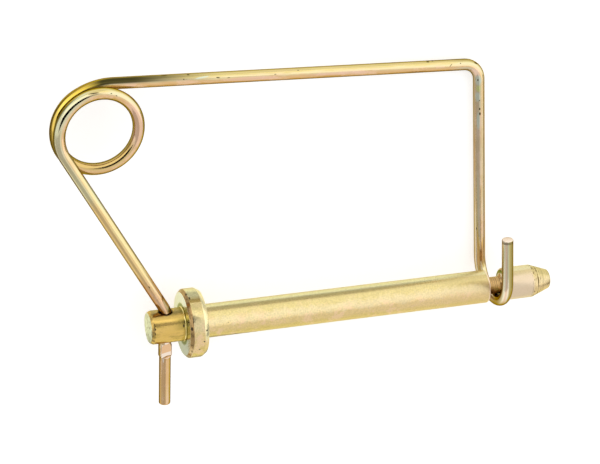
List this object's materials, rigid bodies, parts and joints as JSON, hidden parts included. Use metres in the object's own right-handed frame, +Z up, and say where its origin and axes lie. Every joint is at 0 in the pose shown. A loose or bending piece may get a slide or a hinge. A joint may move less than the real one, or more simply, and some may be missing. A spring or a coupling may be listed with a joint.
{
  "type": "wire lock pin",
  "caption": "Round steel pin with a collar, a retaining groove and a tapered tip, locked by a one-piece spring wire that swivels in a cross hole, coils once and hooks round the groove.",
  "frame": {"origin": "on the pin's axis, in the plane of the collar's bearing face, where the usable shank starts", "axes": "+X along the pin towards its tapered tip; +Z up as the part lies on its back; +Y along the cross hole towards the wire's coil and arm"},
  "size_m": [0.1958, 0.1319, 0.0299],
  "materials": {
    "pin_zinc": "turned steel with yellow zinc-chromate plating, satin with faint turning marks",
    "wire_zinc": "drawn spring wire with yellow zinc-chromate plating, glossy with pink and green tints"
  },
  "bodies": {
    "pin": {"pin": "pin_zinc"},
    "wire": {"wire": "wire_zinc"}
  },
  "joints": [
    {"name": "wire_swivel", "type": "hinge", "parent": "pin", "child": "wire", "pos_m": [-0.0137, 0, 0], "axis": [0, -1, 0], "range_deg": [0, 180]}
  ]
}
